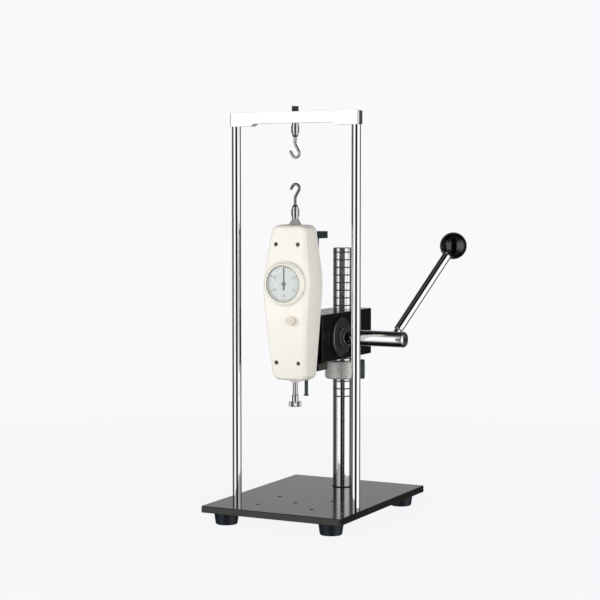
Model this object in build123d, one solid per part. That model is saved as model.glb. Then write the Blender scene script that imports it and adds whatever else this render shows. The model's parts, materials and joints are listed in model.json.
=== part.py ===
from build123d import *
import math
import os

# Manual force test stand. Millimetres. X to the right, Y to the rear, Z up.
# The origin is the mouth of the centre fixture hole, on the top face of the base plate,
# so the force axis through both hooks is the Z axis.

# Base plate and feet
PLATE_HALF_W = 115.0
PLATE_FRONT = -84.0
PLATE_REAR = 226.0
PLATE_T = 10.0
HOLE_R = 3.4
HOLE_DX = 45.0
HOLE_DY = 35.0
FOOT_INSET = 28.0
FOOT_TOP_R = 19.0
FOOT_BOTTOM_R = 16.5
FOOT_H = 19.0
FOOT_SCREW_R = 2.5

# Portal: two posts and a crossbeam over the force axis
POST_X = 100.0
POST_R = 7.0
BEAM_Z0 = 565.5
BEAM_Z1 = 586.3
BEAM_HALF_L = 107.2
BEAM_HALF_D = 7.5
BEAM_RELIEF = 4.0
BEAM_PAD = 36.0
BEAM_SLOPE = 5.0
POST_SCREW_R = 3.0
STUD_R = 3.0
BEAM_NUT_H = 8.0

# Column behind the force axis
COLUMN_Y = 164.0
COLUMN_R = 15.0
COLUMN_H = 380.0
RING_PITCH = 12.0
RING_COUNT = 20
RING_TOP_Z = 373.0
RING_DEPTH = 0.7
COLUMN_SCREW_R = 6.0

# Support collar and its thumbscrew, which points to the right rear
COLLAR_R = 27.5
COLLAR_Z0 = 173.0
COLLAR_Z1 = 201.0
THUMB_ANGLE = 27.0
THUMB_STEM_R = 4.0
THUMB_KNOB_R = 15.5
THUMB_KNOB_NEAR = 28.5
THUMB_KNOB_FAR = 35.2
THUMB_FLUTES = 16

# Head block
HEAD_HALF_W = 30.0
HEAD_FRONT = 32.0
HEAD_REAR = 209.0
HEAD_Z0 = 210.0
HEAD_Z1 = 282.5
CLAMP_SLOT = 3.0
CLAMP_SCREW_Y = 194.0
CLAMP_SCREW_R = 3.0
CLAMP_SCREW_RISE = 18.0

# Rack drive: a toothed round bar in front of a pinion on the lever's shaft
MODULE = 1.5
PINION_TEETH = 36
PRESSURE_ANGLE = math.radians(20.0)
BACKLASH = 0.16
PINION_Y = 91.8
PINION_Z = 245.0
PINION_HALF_W = 8.0
STROKE = 100.0
BAR_R = 10.0
BAR_FLAT = 1.2
GUIDE_BUSH_R = 13.0
GUIDE_BUSH_L = 14.0
RUNNING = 0.05

# Lever shaft, lever and ball
SHAFT_R = 12.0
SHAFT_END_X = 139.8
SEAT_R = 9.0
JOURNAL_R = 8.0
COVER_R = 29.5
COVER_T = 3.0
LEVER_X = 117.6
LEVER_TILT_OUT = 20.0
LEVER_LEAN_BACK = 33.9
LEVER_R = 7.0
LEVER_NECK_R = 5.2
LEVER_LENGTH = 179.0
BALL_R = 20.8

# C-shaped slide that carries the gauge
SLIDE_HALF_W = 23.0
SLIDE_FRONT = 19.0
SLIDE_PLATE_REAR = 31.5
SLIDE_REAR = 68.0
SLIDE_Z0 = 197.5
SLIDE_Z1 = 408.0
ARM_T = 10.5
STOP_Y = 37.0
STOP_R = 3.0
STOP_HEAD_R = 3.8
STOP_HEAD_H = 2.6
STOP_HEAD_Z = 158.4

# Gauge housing: six-sided outline, widest above the middle. Its front is one long arc from end to end.
CASE_Z0 = 186.5
CASE_Z1 = 419.0
CASE_WIDE_Z = 335.0
CASE_END_HALF_W = 28.5
CASE_WIDE_HALF_W = 40.6
CASE_FRONT = 34.0
CASE_BACK = 19.0
CASE_WALL = 2.5
CASE_CORNER_R = 11.5
CASE_WIDE_ROUND = 150.0
CASE_EDGE_R = 6.5
CASE_BACK_ROUND = 8.0
CASE_DRAFT = 3.0
CROWN_R = 530.0
CROWN_Z = 306.0
CASE_SCREW_X = 18.2
CASE_SCREW_LOW_Z = 214.0
CASE_SCREW_HIGH_Z = 390.0
DIAL_Z = 332.0
DIAL_RING_R = 33.0
DIAL_STEP = 2.4
DIAL_FRONT = 40.5
WINDOW_R = 27.6
KNOB_X = 11.0
KNOB_Z = 277.6
KNOB_R = 6.5
ROD_R = 3.75
ROD_BORE_R = 3.82
HEAD_DISC_R = 9.8
BOSS_R = 9.2

# Hooks
WIRE_R = 2.1
UPPER_STEM_R = 2.6
LOOP_X = 0.9
LOOP_R = 6.0
TIP_LEAN = math.radians(32.0)
SOCKET_R = 6.0
SOCKET_L = 21.0
SOCKET_BORE_L = 13.6
HOOK_ROOT = 15.0
HOOK_SOCKET_Z = 569.5
UPPER_BEND_Z = 538.0
UPPER_END_Z = 518.5
UPPER_TIP = 6.5
LOWER_BEND_Z = 460.0
LOWER_END_Z = 479.0
LOWER_TIP = 4.5

PITCH = math.pi * MODULE
PITCH_R = MODULE * PINION_TEETH / 2
TIP_R = PITCH_R + MODULE
ROOT_R = PITCH_R - 1.25 * MODULE
CAVITY_R = TIP_R + 0.4
RACK_LINE_Y = PINION_Y - PITCH_R
BAR_Y = RACK_LINE_Y + MODULE + BAR_FLAT - BAR_R
MIDDLE = (Align.CENTER, Align.CENTER, Align.MIN)


def rod(start, end, radius):
    """Round bar from one point to another."""
    start = Vector(*start)
    run = Vector(*end) - start
    return Plane(origin=start, z_dir=run) * Cylinder(radius, run.length, align=MIDDLE)


def block(low, high):
    """Rectangular block between two corners."""
    size = [b - a for a, b in zip(low, high)]
    return Pos(*low) * Box(*size, align=(Align.MIN, Align.MIN, Align.MIN))


def turned(profile, origin=(0, 0, 0), direction=(0, 0, 1)):
    """Solid turned on a lathe: (radius, height) corners, closed along the axis."""
    corners = [(0, 0, profile[0][1])]
    corners += [(radius, 0, height) for radius, height in profile if radius > 0]
    corners += [(0, 0, profile[-1][1])]
    face = Face(Wire.make_polygon(corners, close=True))
    return Plane(origin=origin, z_dir=direction) * revolve(face, Axis.Z)


def hexagon(across_flats, origin, height):
    """Upright hexagonal prism."""
    outline = RegularPolygon(across_flats / 2, 6, major_radius=False)
    return Pos(*origin) * extrude(outline, height)


def countersunk(head_r, head_h, shank_r, length, origin, direction, socket_r=0.0):
    """Countersunk screw: origin is the middle of its flat head, direction points to its tip."""
    lip = 0.4
    profile = [(head_r, 0), (head_r, lip), (shank_r, head_h), (shank_r, length)]
    screw = turned(profile, origin, direction)
    if socket_r:
        screw -= turned([(socket_r, -0.01), (socket_r, head_h * 0.7)], origin, direction)
    return screw


def cap_screw(head_r, head_h, shank_r, length, origin, direction):
    """Socket head cap screw: origin is under its head, direction points to its tip."""
    screw = turned([(head_r, -head_h), (head_r, 0), (shank_r, 0), (shank_r, length)], origin, direction)
    key = Plane(origin=origin, z_dir=direction) * Pos(0, 0, -head_h - 0.01)
    return screw - key * extrude(RegularPolygon(shank_r * 0.8, 6), head_h * 0.6)


def save(name, *solids):
    """One node: its solids, joined only where they are one piece."""
    shape = solids[0] if len(solids) == 1 else Compound(children=list(solids))
    export_step(shape, f"parts/{name}.step")


os.makedirs("parts", exist_ok=True)


# Base plate: ground steel plate with five tapped fixture holes
foot_xs = (-PLATE_HALF_W + FOOT_INSET, PLATE_HALF_W - FOOT_INSET)
foot_ys = (PLATE_FRONT + FOOT_INSET, PLATE_REAR - FOOT_INSET)
foot_places = {
    "front_left": (foot_xs[0], foot_ys[0]),
    "front_right": (foot_xs[1], foot_ys[0]),
    "rear_left": (foot_xs[0], foot_ys[1]),
    "rear_right": (foot_xs[1], foot_ys[1]),
}
fixture_holes = [(0.0, 0.0)] + [(sx * HOLE_DX, sy * HOLE_DY) for sx in (-1, 1) for sy in (-1, 1)]

plate = block((-PLATE_HALF_W, PLATE_FRONT, -PLATE_T), (PLATE_HALF_W, PLATE_REAR, 0))
plate = fillet(plate.edges().filter_by(Axis.Z), 2.0)
plate = chamfer(plate.faces().sort_by(Axis.Z)[-1].edges(), 0.8)
for x, y in fixture_holes:
    plate -= rod((x, y, -PLATE_T), (x, y, 0), HOLE_R)
for x, y in foot_places.values():
    plate -= rod((x, y, -PLATE_T), (x, y, -2), FOOT_SCREW_R + 0.1)
for x in (-POST_X, POST_X):
    plate -= turned([(8.2, -PLATE_T), (8.2, -PLATE_T + 0.5), (4.1, -PLATE_T + 4.6), (4.1, 0)], (x, 0, 0))
plate -= turned([(12.2, -PLATE_T), (12.2, -PLATE_T + 0.5), (6.2, -PLATE_T + 6.5), (6.2, 0)], (0, COLUMN_Y, 0))
save("base_plate", plate)

# Rubber feet, each held by a pan head screw in a counterbore
FOOT_SEAT_Z = -PLATE_T - FOOT_H + 8.0
foot_screws = []
for place, (x, y) in foot_places.items():
    foot = turned(
        [(FOOT_BOTTOM_R - 1, -FOOT_H), (FOOT_BOTTOM_R, -FOOT_H + 1), (FOOT_TOP_R, -1.0), (FOOT_TOP_R - 1, 0)],
        (x, y, -PLATE_T),
    )
    foot -= rod((x, y, -PLATE_T - FOOT_H), (x, y, FOOT_SEAT_Z), 6.5)
    foot -= rod((x, y, FOOT_SEAT_Z), (x, y, -PLATE_T), FOOT_SCREW_R + 0.2)
    save(f"foot_{place}", foot)
    foot_screws.append(cap_screw(5.0, 3.5, FOOT_SCREW_R, 16.0, (x, y, FOOT_SEAT_Z), (0, 0, 1)))
save("foot_screws", *foot_screws)

# Posts, with tapped ends, and the screws that hold them
posts = {"post_left": -POST_X, "post_right": POST_X}
base_screws = []
beam_screws = []
for name, x in posts.items():
    post = turned([(POST_R, 0), (POST_R, BEAM_Z0)], (x, 0, 0))
    post -= rod((x, 0, 0), (x, 0, 16), 4.1)
    post -= rod((x, 0, BEAM_Z0 - 16), (x, 0, BEAM_Z0), POST_SCREW_R + 0.1)
    save(name, post)
    base_screws.append(countersunk(8.0, 4.5, 4.0, 25.5, (x, 0, -PLATE_T + 0.1), (0, 0, 1), 2.5))
    beam_screws.append(cap_screw(5.0, 6.0, POST_SCREW_R, 28.0, (x, 0, BEAM_Z1 - 7), (0, 0, -1)))
save("post_base_screws", *base_screws)
save("post_top_screws", *beam_screws)

# Crossbeam, relieved underneath between its end pads
step_x = BEAM_HALF_L - BEAM_PAD
beam_outline = Polyline(
    (-BEAM_HALF_L, BEAM_Z0),
    (-step_x, BEAM_Z0),
    (-step_x + BEAM_SLOPE, BEAM_Z0 + BEAM_RELIEF),
    (step_x - BEAM_SLOPE, BEAM_Z0 + BEAM_RELIEF),
    (step_x, BEAM_Z0),
    (BEAM_HALF_L, BEAM_Z0),
    (BEAM_HALF_L, BEAM_Z1),
    (-BEAM_HALF_L, BEAM_Z1),
    close=True,
)
beam = extrude(Plane.XZ * make_face(beam_outline), BEAM_HALF_D, both=True)
ends = beam.faces().filter_by(Axis.X)
ends = [ends.sort_by(Axis.X)[0], ends.sort_by(Axis.X)[-1]]
beam = fillet([edge for face in ends for edge in face.edges()], 2.2)
beam -= rod((0, 0, BEAM_Z0), (0, 0, BEAM_Z1), STUD_R + 0.2)
for x in posts.values():
    beam -= rod((x, 0, BEAM_Z0), (x, 0, BEAM_Z1), POST_SCREW_R + 0.3)
    beam -= rod((x, 0, BEAM_Z1 - 7), (x, 0, BEAM_Z1), 5.5)
save("crossbeam", beam)

# Stud through the beam and the nut on it
nut_top = BEAM_Z1 + BEAM_NUT_H
stud_low = HOOK_SOCKET_Z - SOCKET_BORE_L + 0.1
stud_profile = [(STUD_R - 0.5, stud_low), (STUD_R, stud_low + 0.5), (STUD_R, nut_top - 1)]
stud = turned(stud_profile + [(STUD_R - 0.5, nut_top - 0.5)])
save("beam_stud", stud)
nut = hexagon(10.0, (0, 0, BEAM_Z1), BEAM_NUT_H)
nut &= turned([(5.1, BEAM_Z1), (5.8, BEAM_Z1 + 0.6), (5.8, nut_top - 0.6), (5.1, nut_top)])
nut -= rod((0, 0, BEAM_Z1), (0, 0, nut_top), STUD_R + 0.05)
save("beam_nut", nut)

# Column with ring marks, held by one screw from below
column_profile = [(COLUMN_R - 0.8, 0), (COLUMN_R - 0.8, 1.2), (COLUMN_R, 1.2)]
for index in range(RING_COUNT):
    z = RING_TOP_Z - RING_PITCH * (RING_COUNT - 1 - index)
    column_profile += [(COLUMN_R, z - RING_DEPTH), (COLUMN_R - RING_DEPTH, z), (COLUMN_R, z + RING_DEPTH)]
column_profile += [(COLUMN_R, COLUMN_H - 1), (COLUMN_R - 1, COLUMN_H)]
column = turned(column_profile, (0, COLUMN_Y, 0))
column -= rod((0, COLUMN_Y, 0), (0, COLUMN_Y, 28), COLUMN_SCREW_R + 0.1)
save("column", column)
column_screw = countersunk(12.0, 6.5, COLUMN_SCREW_R, 37.5, (0, COLUMN_Y, -PLATE_T + 0.1), (0, 0, 1), 4.0)
save("column_screw", column_screw)


# Hooks: bent wire in a knurled socket. The wire leaves the axis, runs round and ends in a leaning open tip.
def hook_wire(root_z, bend_z, end_z, tip):
    """Bent wire hook in the XZ plane. end_z is the far end of its bend, tip the straight length after it."""
    up = 1 if root_z > end_z else -1
    middle_z = end_z + up * LOOP_R

    def on_loop(angle, radius=LOOP_R):
        return (LOOP_X + radius * math.cos(angle), 0, middle_z + up * radius * math.sin(angle))

    rise = abs(bend_z - middle_z)
    first = math.atan2(rise, -LOOP_X) - math.acos(LOOP_R / math.hypot(rise, LOOP_X))
    last = TIP_LEAN - math.pi
    stem = FilletPolyline((0, 0, root_z), (0, 0, bend_z), on_loop(first), radius=6.0)
    loop = ThreePointArc(on_loop(first), on_loop((first + last) / 2), on_loop(last))
    x, _, z = on_loop(last)
    tip_end = (x - tip * math.sin(TIP_LEAN), 0, z + up * tip * math.cos(TIP_LEAN))
    path = Wire(stem.edges() + loop.edges() + Line((x, 0, z), tip_end).edges())
    section = Plane(origin=(0, 0, root_z), z_dir=(0, 0, -up)) * Circle(WIRE_R)
    return sweep(section, path) + Pos(*tip_end) * Sphere(WIRE_R)


def hook_socket(base_z, up):
    """Turned and knurled socket, from its flat end at base_z towards the wire."""
    steps = [(4.9, 0), (5.2, 0.4), (5.2, 4.2), (SOCKET_R, 4.5), (SOCKET_R, 13.8), (5.3, 14.2), (4.9, 17)]
    steps += [(3.6, 20), (2.9, SOCKET_L)]
    profile = [(radius, base_z + up * along) for radius, along in steps]
    socket = turned(profile)
    socket -= rod((0, 0, base_z), (0, 0, base_z + up * SOCKET_BORE_L), STUD_R + RUNNING)
    return socket


upper_socket = hook_socket(HOOK_SOCKET_Z, -1)
upper_root = HOOK_SOCKET_Z - HOOK_ROOT
upper_socket -= rod((0, 0, HOOK_SOCKET_Z - SOCKET_L), (0, 0, upper_root), UPPER_STEM_R + 0.02)
save("upper_hook_socket", upper_socket)
stem_end_z = UPPER_BEND_Z + 3
upper_stem = turned([(UPPER_STEM_R, upper_root), (UPPER_STEM_R, stem_end_z), (WIRE_R - 0.1, stem_end_z - 2)])
save("upper_hook", upper_stem + hook_wire(upper_root, UPPER_BEND_Z, UPPER_END_Z, UPPER_TIP))

# Support collar round the column, and the thumbscrew that locks it
thumb = (math.cos(math.radians(THUMB_ANGLE)), math.sin(math.radians(THUMB_ANGLE)), 0)
collar_z = (COLLAR_Z0 + COLLAR_Z1) / 2


def on_thumb_axis(distance):
    return (thumb[0] * distance, COLUMN_Y + thumb[1] * distance, collar_z)


collar = turned(
    [
        (COLLAR_R - 2, COLLAR_Z0),
        (COLLAR_R, COLLAR_Z0 + 2),
        (COLLAR_R, COLLAR_Z1 - 1),
        (COLLAR_R - 1, COLLAR_Z1),
    ],
    (0, COLUMN_Y, 0),
)
collar -= rod((0, COLUMN_Y, COLLAR_Z0), (0, COLUMN_Y, COLLAR_Z1), COLUMN_R + RUNNING)
collar -= rod(on_thumb_axis(10), on_thumb_axis(COLLAR_R + 1), THUMB_STEM_R + RUNNING)
save("support_collar", collar)

knob_t = THUMB_KNOB_FAR - THUMB_KNOB_NEAR
knob = turned(
    [(THUMB_KNOB_R - 1, 0), (THUMB_KNOB_R, 1), (THUMB_KNOB_R, knob_t - 1), (THUMB_KNOB_R - 1, knob_t)],
    on_thumb_axis(THUMB_KNOB_NEAR),
    thumb,
)
flute_ring = Plane(origin=on_thumb_axis(THUMB_KNOB_NEAR), z_dir=thumb)
for flute in PolarLocations(THUMB_KNOB_R + 0.6, THUMB_FLUTES):
    knob -= flute_ring * flute * Cylinder(1.3, knob_t, align=MIDDLE)
knob += rod(on_thumb_axis(COLUMN_R + 0.4), on_thumb_axis(THUMB_KNOB_NEAR + 1), THUMB_STEM_R)
save("collar_thumbscrew", knob)

# Head block: column clamp at the rear, pinion cavity in the middle, bar guide in front
head = block((-HEAD_HALF_W, HEAD_FRONT, HEAD_Z0), (HEAD_HALF_W, HEAD_REAR, HEAD_Z1))
head = chamfer(head.edges().filter_by(Axis.Z), 1.5)
head = chamfer(head.faces().sort_by(Axis.Z)[-1].edges() + head.faces().sort_by(Axis.Z)[0].edges(), 0.8)
head -= rod((0, COLUMN_Y, HEAD_Z0), (0, COLUMN_Y, HEAD_Z1), COLUMN_R + RUNNING)
head -= block((-CLAMP_SLOT / 2, COLUMN_Y, HEAD_Z0), (CLAMP_SLOT / 2, HEAD_REAR, HEAD_Z1))
clamp_zs = [(HEAD_Z0 + HEAD_Z1) / 2 + side * CLAMP_SCREW_RISE for side in (-1, 1)]
for z in clamp_zs:
    head -= rod((-HEAD_HALF_W, CLAMP_SCREW_Y, z), (-HEAD_HALF_W + 7, CLAMP_SCREW_Y, z), 5.5)
    head -= rod((-HEAD_HALF_W, CLAMP_SCREW_Y, z), (HEAD_HALF_W - 8, CLAMP_SCREW_Y, z), CLAMP_SCREW_R + 0.2)
bush_zs = (HEAD_Z0, HEAD_Z1 - GUIDE_BUSH_L)
head -= rod((0, BAR_Y, HEAD_Z0), (0, BAR_Y, HEAD_Z1), BAR_R + 0.6)
for z in bush_zs:
    head -= rod((0, BAR_Y, z), (0, BAR_Y, z + GUIDE_BUSH_L), GUIDE_BUSH_R)
CAVITY_X = PINION_HALF_W + 0.5
RIGHT_BUSH_R = 15.5
LEFT_BUSH_R = 11.0
head -= rod((-HEAD_HALF_W, PINION_Y, PINION_Z), (CAVITY_X, PINION_Y, PINION_Z), CAVITY_R)
head -= rod((0, PINION_Y, PINION_Z), (HEAD_HALF_W, PINION_Y, PINION_Z), RIGHT_BUSH_R)
head -= rod((HEAD_HALF_W - 2, PINION_Y, PINION_Z), (HEAD_HALF_W, PINION_Y, PINION_Z), 25.0)
LOCK_SCREW = (17.2, 69.3)
head -= rod((*LOCK_SCREW, HEAD_Z1 - 10), (*LOCK_SCREW, HEAD_Z1), 2.5)
LEFT_COVER_R = 34.4
COVER_SCREW_PITCH_R = 31.2
COVER_BOSS_R = 16.5
cover_screw_places = [
    (PINION_Y + COVER_SCREW_PITCH_R * math.cos(turn), PINION_Z + COVER_SCREW_PITCH_R * math.sin(turn))
    for turn in (math.radians(45 + 90 * quarter) for quarter in range(4))
]
for y, z in cover_screw_places:
    head -= rod((-HEAD_HALF_W, y, z), (-HEAD_HALF_W + 8, y, z), 1.6)
save("head_block", head)

clamp_screws = [
    cap_screw(5.2, 6.0, CLAMP_SCREW_R, 42.0, (-HEAD_HALF_W + 7, CLAMP_SCREW_Y, z), (1, 0, 0)) for z in clamp_zs
]
save("head_clamp_screws", *clamp_screws)
lock_screw = turned([(2.45, HEAD_Z1 - 10), (2.45, HEAD_Z1 - 0.6)], (*LOCK_SCREW, 0))
lock_screw -= Pos(*LOCK_SCREW, HEAD_Z1 - 3) * extrude(RegularPolygon(1.5, 6), 3)
save("top_lock_screw", lock_screw)

guide_bushes = []
for z in bush_zs:
    bush = rod((0, BAR_Y, z), (0, BAR_Y, z + GUIDE_BUSH_L), GUIDE_BUSH_R - 0.02)
    guide_bushes.append(bush - rod((0, BAR_Y, z), (0, BAR_Y, z + GUIDE_BUSH_L), BAR_R + RUNNING))
save("rack_guide_bushes", *guide_bushes)

# Bearing covers and bushes of the lever shaft
pinion_origin = (0, PINION_Y, PINION_Z)
right_cover = turned(
    [
        (24.9, HEAD_HALF_W - 2),
        (24.9, HEAD_HALF_W),
        (COVER_R, HEAD_HALF_W),
        (COVER_R, HEAD_HALF_W + COVER_T - 0.8),
        (COVER_R - 0.8, HEAD_HALF_W + COVER_T),
        (COVER_BOSS_R, HEAD_HALF_W + COVER_T),
        (COVER_BOSS_R, HEAD_HALF_W + COVER_T + 1.5),
    ],
    pinion_origin,
    (1, 0, 0),
)
right_cover -= rod((HEAD_HALF_W - 2, PINION_Y, PINION_Z), (HEAD_HALF_W + 6, PINION_Y, PINION_Z), SHAFT_R + 0.3)
save("bearing_cover_right", right_cover)

left_cover = turned(
    [
        (CAVITY_R - 0.03, -CAVITY_X),
        (CAVITY_R - 0.03, -HEAD_HALF_W),
        (LEFT_COVER_R, -HEAD_HALF_W),
        (LEFT_COVER_R, -HEAD_HALF_W - COVER_T + 0.8),
        (LEFT_COVER_R - 0.8, -HEAD_HALF_W - COVER_T),
    ],
    pinion_origin,
    (1, 0, 0),
)
left_cover -= rod((-HEAD_HALF_W + 2, PINION_Y, PINION_Z), (0, PINION_Y, PINION_Z), LEFT_BUSH_R)
cover_screws = []
for y, z in cover_screw_places:
    seat = (-HEAD_HALF_W - COVER_T, y, z)
    left_cover -= countersunk(3.0, 1.8, 1.7, 8, seat, (1, 0, 0))
    cover_screws.append(countersunk(2.8, 1.8, 1.5, 9.5, (seat[0] + 0.15, y, z), (1, 0, 0), 1.1))
save("bearing_cover_left", left_cover)
save("cover_screws", *cover_screws)

right_bush = rod((CAVITY_X, PINION_Y, PINION_Z), (HEAD_HALF_W - 2, PINION_Y, PINION_Z), RIGHT_BUSH_R - 0.02)
right_bush -= rod((CAVITY_X, PINION_Y, PINION_Z), (HEAD_HALF_W, PINION_Y, PINION_Z), SHAFT_R + RUNNING)
left_bush = rod((-HEAD_HALF_W + 2, PINION_Y, PINION_Z), (-CAVITY_X, PINION_Y, PINION_Z), LEFT_BUSH_R - 0.02)
left_bush -= rod((-HEAD_HALF_W, PINION_Y, PINION_Z), (0, PINION_Y, PINION_Z), JOURNAL_R + RUNNING)
save("shaft_bushes", right_bush, left_bush)


# Pinion with involute teeth. A gap faces the rack, which has a tooth at the same height.
def involute(angle):
    return math.tan(angle) - angle


def pinion_outline():
    """Closed outline of all teeth, counted round from the rack side."""
    base_r = PITCH_R * math.cos(PRESSURE_ANGLE)
    half_tooth = (PITCH / 2 - BACKLASH / 2) / 2 / PITCH_R
    corners = []
    for tooth in range(PINION_TEETH):
        middle = 2 * math.pi * (tooth + 0.5) / PINION_TEETH
        flank = []
        for share in (0.0, 0.35, 0.7, 1.0):
            radius = base_r + share * (TIP_R - base_r)
            lean = involute(math.acos(base_r / radius)) if share else 0.0
            flank.append((radius, half_tooth + involute(PRESSURE_ANGLE) - lean))
        flank.insert(0, (ROOT_R, flank[0][1]))
        side = [(radius, middle - half) for radius, half in flank]
        side += [(radius, middle + half) for radius, half in reversed(flank)]
        corners += [(radius * math.cos(turn), radius * math.sin(turn)) for radius, turn in side]
    return Polyline(*corners, close=True)


pinion_plane = Plane(origin=(-PINION_HALF_W, PINION_Y, PINION_Z), x_dir=(0, -1, 0), z_dir=(1, 0, 0))
pinion = extrude(pinion_plane * make_face(pinion_outline()), PINION_HALF_W * 2)
pinion -= rod((-PINION_HALF_W, PINION_Y, PINION_Z), (PINION_HALF_W, PINION_Y, PINION_Z), SEAT_R + 0.02)
KEY_HALF_W = 2.5
KEY_LOW = PINION_Z + 6.5
KEY_HIGH = PINION_Z + 11.5
pinion -= block(
    (-PINION_HALF_W, PINION_Y - KEY_HALF_W - 0.02, PINION_Z),
    (PINION_HALF_W, PINION_Y + KEY_HALF_W + 0.02, KEY_HIGH + 0.1),
)
save("pinion", pinion)
key_low = (-PINION_HALF_W + 1, PINION_Y - KEY_HALF_W, KEY_LOW)
key_high = (PINION_HALF_W - 1, PINION_Y + KEY_HALF_W, KEY_HIGH)
save("pinion_key", block(key_low, key_high))

# Stepped shaft: left journal, pinion seat, then full size out to the lever
lean = math.radians(LEVER_LEAN_BACK)
tilt = math.radians(LEVER_TILT_OUT)
lever = (math.sin(tilt), math.cos(tilt) * math.sin(lean), math.cos(tilt) * math.cos(lean))


def on_lever(distance):
    return (LEVER_X + lever[0] * distance, PINION_Y + lever[1] * distance, PINION_Z + lever[2] * distance)


RING_X = HEAD_HALF_W + COVER_T + 2.0
shaft = turned(
    [
        (JOURNAL_R - 0.5, -HEAD_HALF_W + 2.5),
        (JOURNAL_R, -HEAD_HALF_W + 3),
        (JOURNAL_R, -PINION_HALF_W),
        (SEAT_R, -PINION_HALF_W),
        (SEAT_R, PINION_HALF_W),
        (SHAFT_R, PINION_HALF_W),
        (SHAFT_R, RING_X),
        (SHAFT_R - 1, RING_X),
        (SHAFT_R - 1, RING_X + 1.3),
        (SHAFT_R, RING_X + 1.3),
        (SHAFT_R, SHAFT_END_X - 2),
        (SHAFT_R - 2, SHAFT_END_X),
    ],
    pinion_origin,
    (1, 0, 0),
)
shaft -= block(key_low, (key_high[0], key_high[1], key_high[2] + 1))
shaft -= rod(on_lever(-6), on_lever(20), LEVER_NECK_R + 0.02)
LOCK_R = 3.0
LOCK_TIP_X = LEVER_X + LEVER_NECK_R / math.cos(tilt) + LOCK_R * math.tan(tilt) + 0.1
shaft -= rod((LEVER_X, PINION_Y, PINION_Z), (SHAFT_END_X, PINION_Y, PINION_Z), LOCK_R + 0.05)
save("pinion_shaft", shaft)

lock = rod((LOCK_TIP_X, PINION_Y, PINION_Z), (SHAFT_END_X - 1.2, PINION_Y, PINION_Z), LOCK_R)
lock -= Plane(origin=(SHAFT_END_X - 4, PINION_Y, PINION_Z), z_dir=(1, 0, 0)) * extrude(RegularPolygon(1.8, 6), 4)
save("lever_lock_screw", lock)

ring = rod((RING_X + 0.05, PINION_Y, PINION_Z), (RING_X + 1.25, PINION_Y, PINION_Z), SHAFT_R + 2.5)
ring -= rod((RING_X, PINION_Y, PINION_Z), (RING_X + 2, PINION_Y, PINION_Z), SHAFT_R - 0.95)
ring -= block((RING_X, PINION_Y, PINION_Z - 2), (RING_X + 2, PINION_Y + 20, PINION_Z + 2))
save("shaft_retaining_ring", ring)

# Lever: neck in the shaft, rod, then the threaded end inside the ball
NECK_END = 18.0
BALL_SEAT = LEVER_LENGTH - 18.0
lever_rod = turned(
    [
        (LEVER_NECK_R, -5.5),
        (LEVER_NECK_R, NECK_END - 1),
        (LEVER_R, NECK_END + 0.5),
        (LEVER_R, BALL_SEAT),
        (5.0, BALL_SEAT),
        (5.0, BALL_SEAT + 14),
    ],
    on_lever(0),
    lever,
)
save("lever_rod", lever_rod)
ball = Plane(origin=on_lever(LEVER_LENGTH), z_dir=lever) * Sphere(BALL_R)
ball -= rod(on_lever(LEVER_LENGTH - BALL_R - 5), on_lever(BALL_SEAT), BALL_R)
ball -= rod(on_lever(BALL_SEAT), on_lever(BALL_SEAT + 15), 5.05)
save("lever_ball", ball)

# Toothed bar between the arms of the slide. A flat is milled on it, then the teeth.
bar_z0 = SLIDE_Z0 + ARM_T
bar_z1 = SLIDE_Z1 - ARM_T
tip_y = RACK_LINE_Y + MODULE
root_y = RACK_LINE_Y - 1.25 * MODULE
teeth_below = math.ceil(16.0 / PITCH)
teeth_above = math.ceil((STROKE + 16.0) / PITCH)
bar = rod((0, BAR_Y, bar_z0), (0, BAR_Y, bar_z1), BAR_R)
flat_low = PINION_Z - (teeth_below + 0.5) * PITCH
flat_high = PINION_Z + (teeth_above + 0.5) * PITCH
bar -= block((-BAR_R, tip_y, flat_low), (BAR_R, tip_y + 5, flat_high))
rise = math.tan(PRESSURE_ANGLE)
half_gap = (PITCH / 2 + BACKLASH / 2) / 2
half_root = half_gap - 1.25 * MODULE * rise
half_tip = half_gap + (MODULE + 1) * rise
gap_outline = Polyline(
    (root_y, -half_root),
    (root_y, half_root),
    (tip_y + 1, half_tip),
    (tip_y + 1, -half_tip),
    close=True,
)
gap_cutter = extrude(Plane.YZ * make_face(gap_outline), BAR_R, both=True)
bar -= [
    Pos(0, 0, PINION_Z + (index + 0.5) * PITCH) * gap_cutter for index in range(-teeth_below, teeth_above)
]
for z, inward in ((bar_z0, 1), (bar_z1, -1)):
    bar -= rod((0, BAR_Y, z), (0, BAR_Y, z + inward * 16), 3.1)
save("rack_bar", bar)

# Slide: front plate with an arm at each end
arm_zs = {"slide_arm_bottom": SLIDE_Z0, "slide_arm_top": SLIDE_Z1 - ARM_T}
slide_plate = block((-SLIDE_HALF_W, SLIDE_FRONT, SLIDE_Z0), (SLIDE_HALF_W, SLIDE_PLATE_REAR, SLIDE_Z1))
slide_plate = chamfer(slide_plate.edges().filter_by(Axis.Z), 1.0)
GAUGE_SCREW_X = 12.0
GAUGE_SCREW_ZS = (245.0, 352.0)
gauge_screws = []
for x in (-GAUGE_SCREW_X, GAUGE_SCREW_X):
    for z in GAUGE_SCREW_ZS:
        slide_plate -= rod((x, SLIDE_FRONT, z), (x, SLIDE_PLATE_REAR, z), 2.2)
        slide_plate -= rod((x, SLIDE_PLATE_REAR - 4.5, z), (x, SLIDE_PLATE_REAR, z), 4.0)
        seat = (x, SLIDE_PLATE_REAR - 4.5, z)
        gauge_screws.append(cap_screw(3.5, 4.0, 2.0, 16.0, seat, (0, -1, 0)))
arm_screws = []
ARM_SCREW_X = 15.0
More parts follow.
